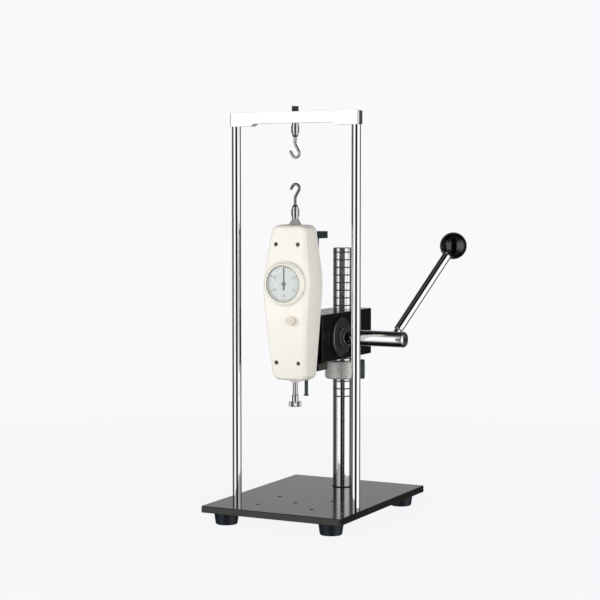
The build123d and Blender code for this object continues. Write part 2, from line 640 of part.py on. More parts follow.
for z in arm_zs.values():
    for x in (-ARM_SCREW_X, ARM_SCREW_X):
        middle = z + ARM_T / 2
        slide_plate -= rod((x, SLIDE_FRONT, middle), (x, SLIDE_PLATE_REAR, middle), 2.7)
        slide_plate -= rod((x, SLIDE_FRONT, middle), (x, SLIDE_FRONT + 5.4, middle), 4.5)
        arm_screws.append(cap_screw(4.2, 5.0, 2.5, 20.0, (x, SLIDE_FRONT + 5.4, middle), (0, 1, 0)))
save("slide_plate", slide_plate)
save("gauge_mount_screws", *gauge_screws)
save("arm_screws", *arm_screws)

bar_screws = []
for name, z in arm_zs.items():
    arm = block((-SLIDE_HALF_W, SLIDE_PLATE_REAR, z), (SLIDE_HALF_W, SLIDE_REAR, z + ARM_T))
    rear_corners = arm.edges().filter_by(Axis.Z).sort_by(Axis.Y)[-2:]
    arm = fillet(rear_corners, 6.0)
    for x in (-ARM_SCREW_X, ARM_SCREW_X):
        arm -= rod((x, SLIDE_PLATE_REAR, z + ARM_T / 2), (x, SLIDE_PLATE_REAR + 14, z + ARM_T / 2), 2.6)
    low = name == "slide_arm_bottom"
    seat = (0, BAR_Y, z if low else z + ARM_T)
    inward = (0, 0, 1 if low else -1)
    arm -= countersunk(6.2, 3.6, 3.3, 20, seat, inward)
    inset = (seat[0], seat[1], seat[2] + inward[2] * 0.15)
    bar_screws.append(countersunk(6.0, 3.6, 3.0, 24, inset, inward, 2.2))
    if low:
        arm -= rod((0, STOP_Y, z), (0, STOP_Y, z + ARM_T), STOP_R + RUNNING)
    save(name, arm)
save("rack_bar_screws", *bar_screws)

# Stop screw under the head block, with its lock nut
stop = turned(
    [
        (STOP_HEAD_R, STOP_HEAD_Z),
        (STOP_HEAD_R, STOP_HEAD_Z + STOP_HEAD_H),
        (STOP_R, STOP_HEAD_Z + STOP_HEAD_H),
        (STOP_R, HEAD_Z0 - 0.3),
    ],
    (0, STOP_Y, 0),
)
stop -= Pos(0, STOP_Y, STOP_HEAD_Z) * Box(2 * STOP_HEAD_R + 1, 1.0, 2.0)
save("stop_screw", stop)
nut = hexagon(10.0, (0, STOP_Y, SLIDE_Z0 - 4), 4.0)
save("stop_nut", nut - rod((0, STOP_Y, SLIDE_Z0 - 4), (0, STOP_Y, SLIDE_Z0), STOP_R + RUNNING))


# Gauge housing, moulded in two shells that part on the force axis
def case_outline(inset):
    """Six-sided outline seen from the front, with rounded corners."""
    end = CASE_END_HALF_W - inset
    wide = CASE_WIDE_HALF_W - inset
    low = CASE_Z0 + inset
    high = CASE_Z1 - inset
    corners = [(-end, low), (end, low), (wide, CASE_WIDE_Z), (end, high), (-end, high), (-wide, CASE_WIDE_Z)]
    outline = make_face(Polyline(*corners, close=True))
    outline = fillet(outline.vertices().filter_by(lambda v: abs(v.Y - CASE_WIDE_Z) < 0.1), CASE_WIDE_ROUND)
    tight = outline.vertices().filter_by(lambda v: min(abs(v.Y - low), abs(v.Y - high)) < 0.1)
    return fillet(tight, CASE_CORNER_R - inset)


def crown_depth(z, inset):
    """Depth of the front face, which is one arc with its foremost line at CROWN_Z."""
    return CASE_FRONT - inset - CROWN_R + math.sqrt(CROWN_R**2 - (z - CROWN_Z) ** 2)


def crown_point(z, inset):
    return (-crown_depth(z, inset), z)


def case_front(inset):
    """Front half of the housing as a solid, smaller all round by the inset."""
    solid = extrude(Plane.XZ * case_outline(inset), CASE_FRONT + 5, taper=CASE_DRAFT)
    low = CASE_Z0 - 5
    high = CASE_Z1 + 5
    profile = [
        Line((5, low), crown_point(low, inset)),
        ThreePointArc(crown_point(low, inset), crown_point(CROWN_Z, inset), crown_point(high, inset)),
        Line(crown_point(high, inset), (5, high)),
        Line((5, high), (5, low)),
    ]
    solid &= extrude(Plane.YZ * make_face(profile), 50, both=True)
    rim = solid.edges().filter_by(lambda e: e.center().Y < -15 and abs((e @ 0).Y - (e @ 1).Y) < 15)
    return fillet(rim, CASE_EDGE_R - inset)


front_shell = case_front(0) - case_front(CASE_WALL)
case_screw_places = [
    (sx * CASE_SCREW_X, z) for sx in (-1, 1) for z in (CASE_SCREW_LOW_Z, CASE_SCREW_HIGH_Z)
]
PILLAR_R = 4.5
RIM_R = 30.0
for x, z in case_screw_places:
    front_shell += rod((x, 0, z), (x, -crown_depth(z, 1), z), PILLAR_R)
plate_posts = [(sx * 19.0, DIAL_Z + sz * 18.0) for sx in (-1, 1) for sz in (-1, 1)]
for x, z in plate_posts:
    front_shell += rod((x, -12, z), (x, -CASE_FRONT + 1, z), 3.0)
front_shell += rod((0, -CASE_FRONT + 4.5, DIAL_Z), (0, -CASE_FRONT, DIAL_Z), DIAL_RING_R - 0.6)
front_shell += rod((0, -CASE_FRONT + 1, DIAL_Z), (0, -CASE_FRONT - DIAL_STEP + 1.2, DIAL_Z), RIM_R)
front_shell -= rod((0, 0, DIAL_Z), (0, -DIAL_FRONT, DIAL_Z), 4.0)
front_shell -= rod((KNOB_X, 0, KNOB_Z), (KNOB_X, -DIAL_FRONT, KNOB_Z), 3.3)
for x, z in case_screw_places:
    front_shell -= rod((x, 0, z), (x, -CASE_FRONT, z), 1.7)
    front_shell -= rod((x, -crown_depth(z, 2.6), z), (x, -CASE_FRONT, z), 3.3)
NECK_R = 6.0
for z0, z1 in ((CASE_Z0 - 1, CASE_Z0 + 6), (CASE_Z1 - 6, CASE_Z1 + 1)):
    front_shell -= rod((0, 0, z0), (0, 0, z1), NECK_R + 0.05)
save("gauge_front_shell", front_shell)


def case_back(inset, round_r):
    """Back half of the housing as a solid, rounded towards the slide."""
    solid = extrude(Plane.XZ * case_outline(inset), -(CASE_BACK - inset), taper=CASE_DRAFT)
    rear = solid.faces().sort_by(Axis.Y)[-1]
    return fillet(rear.edges(), round_r)


back_shell = case_back(0, CASE_BACK_ROUND) - case_back(CASE_WALL, CASE_BACK_ROUND - CASE_WALL)
for x, z in case_screw_places:
    back_shell += rod((x, 0, z), (x, CASE_BACK - 1, z), PILLAR_R)
    back_shell -= rod((x, 0, z), (x, 14, z), 1.55)
for x in (-GAUGE_SCREW_X, GAUGE_SCREW_X):
    for z in GAUGE_SCREW_ZS:
        back_shell += rod((x, 7, z), (x, CASE_BACK - 1, z), 5.0)
        back_shell -= rod((x, 9.5, z), (x, CASE_BACK, z), 2.1)
ANCHOR_Z = 225.0
back_shell += block((-16, -2, ANCHOR_Z - 4), (16, CASE_BACK - 1, ANCHOR_Z))
for z0, z1 in ((CASE_Z0 - 1, CASE_Z0 + 6), (CASE_Z1 - 6, CASE_Z1 + 1), (ANCHOR_Z - 5, ANCHOR_Z + 1)):
    back_shell -= rod((0, 0, z0), (0, 0, z1), NECK_R + 0.05)
save("gauge_back_shell", back_shell)

shell_screws = []
for x, z in case_screw_places:
    seat_y = -crown_depth(z, 2.6)
    shell_screws.append(cap_screw(3.0, 2.0, 1.5, 11.0 - seat_y, (x, seat_y, z), (0, 1, 0)))
save("gauge_shell_screws", *shell_screws)

# Bosses that guide the measuring rod through both ends of the housing. The end walls lean with the
# draft of the moulding, so the inner flanges stand off them by that much.
FLANGE_GAP = 0.55
top_boss = turned(
    [
        (9.0, CASE_Z1 - 5.8),
        (9.0, CASE_Z1 - CASE_WALL - FLANGE_GAP),
        (NECK_R, CASE_Z1 - CASE_WALL - FLANGE_GAP),
        (NECK_R, CASE_Z1),
        (BOSS_R, CASE_Z1),
        (BOSS_R, CASE_Z1 + 0.8),
        (4.9, CASE_Z1 + 8),
    ]
)
save("gauge_top_boss", top_boss - rod((0, 0, CASE_Z1 - 8), (0, 0, CASE_Z1 + 9), ROD_BORE_R))
bottom_boss = turned(
    [
        (7.0, CASE_Z0 - 3),
        (8.0, CASE_Z0 - 2),
        (8.0, CASE_Z0),
        (NECK_R, CASE_Z0),
        (NECK_R, CASE_Z0 + CASE_WALL + FLANGE_GAP),
        (9.0, CASE_Z0 + CASE_WALL + FLANGE_GAP),
        (9.0, CASE_Z0 + 5.8),
    ]
)
save("gauge_bottom_boss", bottom_boss - rod((0, 0, CASE_Z0 - 4), (0, 0, CASE_Z0 + 8), ROD_BORE_R))

# Measuring rod with its cross arm and the rack that turns the pointer
ARM_Z = 285.0
POINTER_PITCH_R = 1.91
measuring_rod = turned(
    [
        (5.0, 153.6),
        (5.0, 163.4),
        (ROD_R, 164.4),
        (ROD_R, 427.2),
        (STUD_R, 427.2),
        (STUD_R, 439.5),
        (STUD_R - 0.5, 440),
    ]
)
measuring_rod += block((-16, -3, ARM_Z), (16, 3, ARM_Z + 4))
measuring_rod += block((-5, -9.5, DIAL_Z - 16), (-POINTER_PITCH_R - 0.5, -2.5, DIAL_Z + 8))
measuring_rod -= rod((0, 0, 153.6), (0, 0, 162), 2.55)
save("measuring_rod", measuring_rod)
flat_head = turned(
    [
        (HEAD_DISC_R - 0.6, 146.6),
        (HEAD_DISC_R, 147.2),
        (HEAD_DISC_R, 153.0),
        (HEAD_DISC_R - 0.6, 153.6),
        (2.5, 153.6),
        (2.5, 161),
    ]
)
save("flat_head", flat_head)
springs = []
for x in (-11.5, 11.5):
    spring = rod((x, 0, ANCHOR_Z), (x, 0, ARM_Z), 4.0) - rod((x, 0, ANCHOR_Z), (x, 0, ARM_Z), 2.8)
    springs.append(spring)
save("measuring_springs", *springs)

movement = block((-24, -12, DIAL_Z - 24), (24, -10, DIAL_Z + 24))
save("movement_plate", movement - rod((0, -12, DIAL_Z), (0, -10, DIAL_Z), 1.25))

# Dial: a turning ring that holds the face and the window
dial_origin = (0, 0, DIAL_Z)
forward = (0, -1, 0)
ledge = CASE_FRONT + DIAL_STEP
window = ledge + 2.4
dial_ring = turned(
    [
        (DIAL_RING_R - 0.6, CASE_FRONT + 0.4),
        (DIAL_RING_R, CASE_FRONT + 1.0),
        (DIAL_RING_R, CASE_FRONT + 2.8),
        (WINDOW_R + 1.8, DIAL_FRONT),
    ],
    dial_origin,
    forward,
)
dial_ring -= rod((0, -CASE_FRONT, DIAL_Z), (0, -ledge, DIAL_Z), RIM_R + RUNNING + 0.03)
dial_ring -= rod((0, -ledge, DIAL_Z), (0, -window, DIAL_Z), WINDOW_R - 1.2)
dial_ring -= rod((0, -window, DIAL_Z), (0, -DIAL_FRONT, DIAL_Z), WINDOW_R + 0.1)
save("dial_ring", dial_ring)
dial_face = rod((0, -ledge + 1, DIAL_Z), (0, -ledge, DIAL_Z), RIM_R)
save("dial_face", dial_face - rod((0, -ledge + 1, DIAL_Z), (0, -ledge, DIAL_Z), 2.5))
window_profile = [(WINDOW_R, window), (WINDOW_R, window + 1.0), (WINDOW_R - 1, window + 1.4)]
dial_window = turned(window_profile, dial_origin, forward)
save("dial_window", dial_window)

HUB_NEAR = ledge + 0.3
arbor = turned(
    [(2.0, 5.5), (2.0, 9.8), (1.2, 9.8), (1.2, HUB_NEAR)],
    dial_origin,
    forward,
)
save("pointer_arbor", arbor)
needle = Polyline((-1.2, -9), (1.2, -9), (0.4, 25), (-0.4, 25), close=True)
needle_plane = Plane(origin=(0, -HUB_NEAR - 0.3, DIAL_Z), x_dir=(1, 0, 0), z_dir=forward)
pointer = extrude(needle_plane * make_face(needle), 0.6)
pointer += rod((0, -HUB_NEAR, DIAL_Z), (0, -HUB_NEAR - 1.5, DIAL_Z), 3.0)
save("pointer", pointer)

# Small round knob below the dial
knob_seat = crown_depth(KNOB_Z, 0) + 0.4
mode_knob = turned(
    [
        (3.2, knob_seat - 4),
        (3.2, knob_seat),
        (KNOB_R, knob_seat),
        (KNOB_R, knob_seat + 6.5),
        (KNOB_R - 0.9, knob_seat + 7.4),
    ],
    (KNOB_X, 0, KNOB_Z),
    forward,
)
slot_low = (KNOB_X - 5.2, -knob_seat - 8, KNOB_Z - 0.6)
mode_knob -= block(slot_low, (KNOB_X + 5.2, -knob_seat - 6.4, KNOB_Z + 0.6))
save("mode_knob", mode_knob)

# Lower hook on the end of the measuring rod
LOWER_SOCKET_Z = CASE_Z1 + 8.4
lower_root = LOWER_SOCKET_Z + HOOK_ROOT
lower_socket = hook_socket(LOWER_SOCKET_Z, 1)
lower_socket -= rod((0, 0, lower_root), (0, 0, LOWER_SOCKET_Z + SOCKET_L), WIRE_R + 0.02)
save("lower_hook_socket", lower_socket)
save("lower_hook", hook_wire(lower_root, LOWER_BEND_Z, LOWER_END_Z, LOWER_TIP))
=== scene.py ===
# %% [markdown]
# # A manual force test stand
# A black plate on rubber feet carries a chrome portal with a hook, and a ring-marked column behind it.
# A black head on the column turns a long lever into the up and down travel of a cream force gauge.
# The frame that is loaded here holds every part at its true size and place. This lesson gives each part
# its finish, adds the fine pieces that only the eye needs, such as knurls, threads and the dial's
# print, and sets up a plain studio. All lengths are in metres, and MM turns millimetres into them.

# %% Load the frame
import json
import math

import bpy
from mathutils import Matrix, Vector


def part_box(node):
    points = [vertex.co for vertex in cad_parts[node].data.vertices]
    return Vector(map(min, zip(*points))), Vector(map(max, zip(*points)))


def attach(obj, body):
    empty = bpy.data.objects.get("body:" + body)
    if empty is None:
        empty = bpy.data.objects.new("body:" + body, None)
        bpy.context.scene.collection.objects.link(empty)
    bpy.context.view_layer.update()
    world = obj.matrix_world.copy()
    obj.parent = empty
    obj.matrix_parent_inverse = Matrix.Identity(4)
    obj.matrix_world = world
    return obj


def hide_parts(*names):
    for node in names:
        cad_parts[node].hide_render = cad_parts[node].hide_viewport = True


MM = 0.001
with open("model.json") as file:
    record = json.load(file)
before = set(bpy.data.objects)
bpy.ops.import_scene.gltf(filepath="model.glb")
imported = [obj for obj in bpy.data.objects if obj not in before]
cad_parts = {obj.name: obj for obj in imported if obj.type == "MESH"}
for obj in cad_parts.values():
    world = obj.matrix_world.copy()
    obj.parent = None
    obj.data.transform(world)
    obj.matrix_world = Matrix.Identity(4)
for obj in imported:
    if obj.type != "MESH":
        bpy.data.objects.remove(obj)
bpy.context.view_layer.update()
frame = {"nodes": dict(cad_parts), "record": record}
nodes = frame["nodes"]
record = frame["record"]

# %% [markdown]
# ## The camera
# The photograph was taken with a long lens from the front right, a little above the middle of the
# stand. The camera's place was solved from the plate's corners and the posts, so it is written as
# one point, one heading and one downward tilt.

# %% Camera
CAMERA_PLACE = (1.1209, -2.1870, 0.4656)
CAMERA_HEADING = math.radians(26.97)
CAMERA_DIP = math.radians(3.71)
CAMERA_LENS = 98.90

camera_data = bpy.data.cameras.new("studio_camera")
camera_data.lens = CAMERA_LENS
camera_data.sensor_width = 36.0
camera_data.clip_end = 60.0
camera = bpy.data.objects.new("studio_camera", camera_data)
camera.location = CAMERA_PLACE
camera.rotation_euler = (math.pi / 2 - CAMERA_DIP, 0.0, CAMERA_HEADING)
bpy.context.scene.collection.objects.link(camera)
bpy.context.scene.camera = camera
bpy.context.scene.view_settings.view_transform = "Standard"
print("camera at", tuple(round(x, 3) for x in camera.location))

# %% [markdown]
# ## Colours and nodes
# Colours are written as they look on a screen, in hex, and one function turns them into the linear
# numbers that the shader counts in. One more small function adds a node, its settings and its links,
# so that each finish below reads like a recipe.


# %% Helpers for materials
def linear(hex_colour):
    """Linear RGBA from an sRGB colour such as "#C0C0C0"."""
    channels = [int(hex_colour[i : i + 2], 16) / 255 for i in (1, 3, 5)]
    return [c / 12.92 if c <= 0.04045 else ((c + 0.055) / 1.055) ** 2.4 for c in channels] + [1.0]


def add_node(tree, kind, settings=None, **inputs):
    """Adds a node. Settings are its properties, and inputs are values or other nodes' sockets."""
    node = tree.nodes.new(kind)
    for name, value in (settings or {}).items():
        setattr(node, name, value)
    for name, value in inputs.items():
        key = int(name[1:]) if name[0] == "_" else name.replace("_", " ")
        socket = node.inputs[key]
        if isinstance(value, bpy.types.NodeSocket):
            tree.links.new(value, socket)
        else:
            socket.default_value = value
    return node


def new_finish(name, colour, metallic=0.0, roughness=0.5, ior=1.5):
    """A material with a plain Principled shader. Returns the material, its tree and its shader."""
    material = bpy.data.materials.new(name)
    material.use_nodes = True
    tree = material.node_tree
    shader = tree.nodes["Principled BSDF"]
    shader.inputs["Base Color"].default_value = linear(colour)
    shader.inputs["Metallic"].default_value = metallic
    shader.inputs["Roughness"].default_value = roughness
    if metallic < 0.5:
        shader.inputs["IOR"].default_value = ior
    print("finish:", name, colour)
    return material, tree, shader


def grain(tree, size_mm, stretch=(1.0, 1.0, 1.0), detail=3.0):
    """A noise pattern whose blotches are about size_mm across, as a socket from 0 to 1."""
    place = add_node(tree, "ShaderNodeTexCoord")
    mapping = add_node(tree, "ShaderNodeMapping", Vector=place.outputs["Object"], Scale=stretch)
    scale = 1.0 / (size_mm * MM)
    noise = add_node(
        tree,
        "ShaderNodeTexNoise",
        Vector=mapping.outputs[0],
        Scale=scale,
        Detail=detail,
        Roughness=0.55,
    )
    return noise.outputs["Fac"]


def vary(tree, shader, pattern, tones=None, roughness=None):
    """Lets a 0 to 1 pattern pick the colour between two tones, and the roughness between two values."""
    if tones:
        first, second = (linear(tone) for tone in tones)
        blend = add_node(tree, "ShaderNodeMixRGB", Fac=pattern, Color1=first, Color2=second)
        tree.links.new(blend.outputs["Color"], shader.inputs["Base Color"])
    if roughness:
        low, high = roughness
        ramp = add_node(
            tree,
            "ShaderNodeMapRange",
            Value=pattern,
            From_Min=0.3,
            From_Max=0.7,
            To_Min=low,
            To_Max=high,
        )
        tree.links.new(ramp.outputs["Result"], shader.inputs["Roughness"])


def relief(tree, shader, socket, height_mm, edge_mm=0.0):
    """Raises a pattern by height_mm, and rounds the look of sharp edges by edge_mm."""
    bump = add_node(tree, "ShaderNodeBump", Height=socket, Distance=height_mm * MM, Strength=1.0)
    if edge_mm:
        edge = add_node(tree, "ShaderNodeBevel", {"samples": 6}, Radius=edge_mm * MM)
        tree.links.new(edge.outputs[0], bump.inputs["Normal"])
    tree.links.new(bump.outputs[0], shader.inputs["Normal"])


# %% [markdown]
# ## The finishes
# Each material starts from what the real surface is and how it was made, because that decides what
# the eye sees: a ground bar shows sharp bands of light, a moulded case shows a soft even tone, and
# sandblasted metal shows a speckle. Patterns are sized in millimetres.

# %% Hard chrome plate
# A ground steel bar with a polished chrome layer. It mirrors the room, so its tone comes from the
# studio, and only very faint waves and a breath of haze are its own.
hard_chrome, tree, shader = new_finish("hard_chrome_plate", "#F4F6F8", metallic=1.0, roughness=0.05)
vary(tree, shader, grain(tree, 6.0), roughness=(0.03, 0.08))
relief(tree, shader, grain(tree, 9.0, detail=1.0), 0.02)

# %% Chrome on the column
# The thick column is handled more: the same plate, with small specks and a little more haze. Its ring
# marks, 12 mm apart, are cut through the polish, so they are rough where the rest mirrors, and their
# grey tone is painted shade in the grooves.
RING_LOWEST_Z = 145.0
RING_PITCH = 12.0
RING_MATT_FROM = 0.9
RING_MATT_TO = 1.2

column_chrome, tree, shader = new_finish("column_chrome_plate", "#F0F2F4", metallic=1.0, roughness=0.07)
specks = grain(tree, 1.6, detail=4.0)
haze = add_node(
    tree, "ShaderNodeMapRange", Value=specks, From_Min=0.5, From_Max=0.72, To_Min=0.05, To_Max=0.2
)
place = add_node(tree, "ShaderNodeTexCoord")
height = add_node(tree, "ShaderNodeSeparateXYZ", Vector=place.outputs["Object"])
above = add_node(
    tree, "ShaderNodeMath", {"operation": "SUBTRACT"}, _0=height.outputs["Z"], _1=RING_LOWEST_Z * MM
)
from_ring = add_node(
    tree, "ShaderNodeMath", {"operation": "PINGPONG"}, _0=above.outputs[0], _1=RING_PITCH * MM / 2
)
near_ring = add_node(
    tree,
    "ShaderNodeMapRange",
    Value=from_ring.outputs[0],
    From_Min=RING_MATT_FROM * MM,
    From_Max=RING_MATT_TO * MM,
    To_Min=1.0,
    To_Max=0.0,
)
has_rings = add_node(
    tree,
    "ShaderNodeMapRange",
    Value=above.outputs[0],
    From_Min=-(RING_MATT_TO + 0.1) * MM,
    From_Max=-RING_MATT_TO * MM,
)
cut_and_groove_shade = add_node(
    tree, "ShaderNodeMath", {"operation": "MULTIPLY"}, _0=near_ring.outputs[0], _1=has_rings.outputs[0]
)
cut_roughness = add_node(
    tree, "ShaderNodeMath", {"operation": "MULTIPLY"}, _0=cut_and_groove_shade.outputs[0], _1=0.55
)
roughness = add_node(
    tree, "ShaderNodeMath", {"operation": "MAXIMUM"}, _0=haze.outputs[0], _1=cut_roughness.outputs[0]
)
tree.links.new(roughness.outputs[0], shader.inputs["Roughness"])
# The grey tone at the ring marks is painted shade in the grooves.
vary(tree, shader, cut_and_groove_shade.outputs[0], tones=("#F0F2F4", "#A3A4A2"))
relief(tree, shader, grain(tree, 5.0, stretch=(1.0, 1.0, 0.4)), 0.035)

# %% Ground steel crossbeam
# A bright flat bar, ground lengthwise and lightly plated. Its fine lines run along X.
ground_steel, tree, shader = new_finish("ground_steel", "#FDFDFC", metallic=1.0, roughness=0.16)
lines = grain(tree, 0.35, stretch=(0.02, 1.0, 1.0))
vary(tree, shader, lines, roughness=(0.12, 0.2))
relief(tree, shader, lines, 0.003, edge_mm=0.5)

# %% Polished nickel
# Hooks, sockets, the measuring rod and the flat head: grey plate with small dents from handling.
nickel, tree, shader = new_finish("polished_nickel_plate", "#D3D5D4", metallic=1.0, roughness=0.12)
vary(tree, shader, grain(tree, 2.0), roughness=(0.08, 0.18))
relief(tree, shader, grain(tree, 1.2), 0.01)

# %% Dark spring steel
# The lower hook is oil-blackened wire with worn bright places.
hook_steel, tree, shader = new_finish("oil_blackened_wire", "#8C8E8C", metallic=1.0, roughness=0.22)
wear = grain(tree, 4.0, detail=4.0)
vary(tree, shader, wear, tones=("#6E706E", "#B4B5B2"))
relief(tree, shader, grain(tree, 0.8), 0.008)

# %% Blackened steel
# Nut, stud and set screws: black oxide that has rubbed grey on its edges.
black_oxide, tree, shader = new_finish("black_oxide_steel", "#2F3231", metallic=0.9, roughness=0.35)
wear = grain(tree, 1.5, detail=4.0)
vary(tree, shader, wear, tones=("#232625", "#4A4D4B"), roughness=(0.28, 0.45))
relief(tree, shader, grain(tree, 0.4), 0.006, edge_mm=0.3)

# %% Oiled steel
# The thumbscrew and the stop screw are bare turned steel, kept dark and slightly green by oil.
oiled_steel, tree, shader = new_finish("oiled_turned_steel", "#505A57", metallic=0.3, roughness=0.38)
stain = grain(tree, 2.2, detail=4.0)
vary(tree, shader, stain, tones=("#46504D", "#5F6966"), roughness=(0.3, 0.48))
relief(tree, shader, grain(tree, 0.5), 0.006, edge_mm=0.3)

# %% Zinc plate
# Screws and rings: thin bright zinc over turned steel, a little bluish and cloudy.
zinc, tree, shader = new_finish("bright_zinc_plate", "#C3C7CB", metallic=1.0, roughness=0.3)
clouds = grain(tree, 1.8, detail=4.0)
vary(tree, shader, clouds, tones=("#AEB3B8", "#D3D6D8"), roughness=(0.22, 0.4))

# %% Machined gear steel
# Pinion and toothed bar: cut and left bare with a film of oil.
gear_steel, tree, shader = new_finish("machined_gear_steel", "#9A9A97", metallic=1.0, roughness=0.3)
cuts = grain(tree, 0.5, stretch=(1.0, 1.0, 0.15))
vary(tree, shader, cuts, roughness=(0.2, 0.42))
relief(tree, shader, cuts, 0.006)

# %% Turned bronze
# Bearing bushes, turned from bearing bronze, with fine turning marks.
bronze, tree, shader = new_finish("turned_bronze", "#B98A4B", metallic=1.0, roughness=0.32)
turning = grain(tree, 0.4, stretch=(0.15, 1.0, 1.0))
vary(tree, shader, turning, tones=("#A4783E", "#C99B5C"))
relief(tree, shader, turning, 0.006)

# %% Black stove enamel on the base plate
# Gloss enamel baked on a ground steel plate. Seen at a low angle it mirrors the column and the room.
enamel, tree, shader = new_finish("black_stove_enamel", "#1B1A17", roughness=0.12, ior=1.5)
film = grain(tree, 14.0, detail=2.0)
vary(tree, shader, film, tones=("#191815", "#22211D"))
vary(tree, shader, grain(tree, 3.0, detail=4.0), roughness=(0.07, 0.15))
relief(tree, shader, grain(tree, 1.4, detail=2.0), 0.004, edge_mm=0.6)

# %% Moulded rubber
# The feet are moulded black rubber: a dull, slightly blue black with a fine grain from the mould.
rubber, tree, shader = new_finish("moulded_black_rubber", "#101318", roughness=0.42)
skin = grain(tree, 0.7, detail=4.0)
vary(tree, shader, grain(tree, 10.0), tones=("#0C1015", "#15222E"))
vary(tree, shader, skin, roughness=(0.34, 0.55))
relief(tree, shader, skin, 0.03, edge_mm=0.5)

# %% Black anodised head block
# Milled aluminium, anodised deep black and waxed. Long milling lines run up and down its sides.
anodised, tree, shader = new_finish("black_anodised_block", "#050506", roughness=0.16, ior=1.45)
milling = grain(tree, 2.4, stretch=(1.0, 1.0, 0.03))
vary(tree, shader, milling, tones=("#040404", "#101013"), roughness=(0.1, 0.24))
relief(tree, shader, milling, 0.012, edge_mm=0.5)

# %% Saw-cut anodised arms
# The arms of the slide are sawn bar, anodised without polishing, so their faces stay coarse and catch
# grey light. The upper arm is given a greenish black, and the lower one a lighter brownish black.


def sawn_bar(name, dark, light):
    """Coarse anodised bar between two tones."""
    material, tree, shader = new_finish(name, dark, roughness=0.5)
    marks = grain(tree, 1.1, stretch=(1.0, 0.5, 1.0), detail=5.0)
    vary(tree, shader, marks, tones=(dark, light), roughness=(0.4, 0.65))
    relief(tree, shader, marks, 0.04, edge_mm=0.4)
    return material


upper_sawn = sawn_bar("sawn_green_black_bar", "#161D1D", "#2E3938")
lower_sawn = sawn_bar("sawn_brown_black_bar", "#24211E", "#504B43")

# %% Grey anodised cover
# The round bearing cover was turned and anodised grey: satin, with fine rings round its middle.
grey_cover, tree, shader = new_finish("grey_anodised_cover", "#3C3C3E", metallic=0.35, roughness=0.2)
place = add_node(tree, "ShaderNodeTexCoord")
centre = [-(a + b) / 2 for a, b in zip(*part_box("bearing_cover_right"))]
centred = add_node(tree, "ShaderNodeMapping", Vector=place.outputs["Object"], Location=centre)
rings = add_node(
    tree,
    "ShaderNodeTexWave",
    {"wave_type": "RINGS", "rings_direction": "X"},
    Vector=centred.outputs[0],
    Scale=160.0,
    Distortion=0.6,
    Detail=2.0,
)
vary(tree, shader, rings.outputs["Fac"], tones=("#363638", "#444446"))
relief(tree, shader, rings.outputs["Fac"], 0.002, edge_mm=0.4)

# %% Sandblasted collar
# Steel blasted with grit and nickelled. The grit leaves a light and dark speckle about 1.5 mm across.
blasted, tree, shader = new_finish("sandblasted_steel", "#BDBDBA", metallic=0.5, roughness=0.45)
grit = grain(tree, 1.5, detail=5.0)
speckle = add_node(tree, "ShaderNodeMapRange", Value=grit, From_Min=0.35, From_Max=0.65)
vary(tree, shader, speckle.outputs[0], tones=("#9C9C98", "#E6E6E2"))
vary(tree, shader, grit, roughness=(0.35, 0.55))
relief(tree, shader, grit, 0.05, edge_mm=0.5)

# %% Polished phenolic ball
# Bakelite is moulded, then tumbled to a deep gloss. It is nearly black, with a clear sharp reflection.
bakelite, tree, shader = new_finish("polished_phenolic", "#050506", roughness=0.12, ior=1.8)
vary(tree, shader, grain(tree, 2.5, detail=4.0), roughness=(0.07, 0.16))
relief(tree, shader, grain(tree, 7.0), 0.02)

# %% Cream ABS of the gauge
# Injection moulded ABS, spark-eroded mould: a warm white with a barely visible satin grain.
case_abs, tree, shader = new_finish("cream_moulded_abs", "#F1EEE4", roughness=0.36, ior=1.53)
tone = grain(tree, 30.0, detail=1.0)
vary(tree, shader, tone, tones=("#EFEBE0", "#F5F2EA"))
texture = grain(tree, 0.6, detail=4.0)
vary(tree, shader, texture, roughness=(0.3, 0.42))
relief(tree, shader, texture, 0.008, edge_mm=0.4)
shader.inputs["Subsurface Weight"].default_value = 0.05
shader.inputs["Subsurface Radius"].default_value = (0.002, 0.0015, 0.001)

# %% Glossy cream ring
# The dial's turning ring comes from a polished mould, so it is the same cream with a cleaner shine.
ring_abs, tree, shader = new_finish("glossy_cream_abs", "#F0ECE1", roughness=0.2, ior=1.53)
vary(tree, shader, grain(tree, 2.0), roughness=(0.15, 0.26))
relief(tree, shader, grain(tree, 0.8), 0.004, edge_mm=0.4)

# %% Dial face and print
# A thin aluminium disc, sprayed silver-white, with its scale screen printed in black ink. The soft
# boxes lighten it, so it is written greyer than it is, and its print stays readable.
dial_white, tree, shader = new_finish("sprayed_dial_face", "#B4B4B0", metallic=0.15, roughness=0.45)
vary(tree, shader, grain(tree, 0.5, detail=4.0), tones=("#ACACA8", "#BABAB6"))
ink, tree, shader = new_finish("black_dial_ink", "#1A1A1B", roughness=0.5)
vary(tree, shader, grain(tree, 0.6), tones=("#161617", "#222223"))

# %% Clear window
# A polished acrylic disc with a faint grey tint. Light passes it on its way to the dial, so for
# shadows it counts as empty air.
acrylic, tree, shader = new_finish("clear_acrylic", "#F4F6F6", roughness=0.03, ior=1.49)
shader.inputs["Transmission Weight"].default_value = 1.0
vary(tree, shader, grain(tree, 8.0), roughness=(0.02, 0.05))
path = add_node(tree, "ShaderNodeLightPath")
clear = add_node(tree, "ShaderNodeBsdfTransparent", Color=linear("#EEF0F0"))
in_shadow = path.outputs["Is Shadow Ray"]
mix = add_node(
    tree, "ShaderNodeMixShader", _0=in_shadow, _1=shader.outputs[0], _2=clear.outputs[0]
)
tree.links.new(mix.outputs[0], tree.nodes["Material Output"].inputs["Surface"])

# %% Pointer paint
# The pointer is a thin stamped strip, sprayed matt black, so that it shows no shine over the scale.
pointer_paint, tree, shader = new_finish("pointer_matt_black", "#141414", roughness=0.4)
vary(tree, shader, grain(tree, 0.5), roughness=(0.35, 0.5))

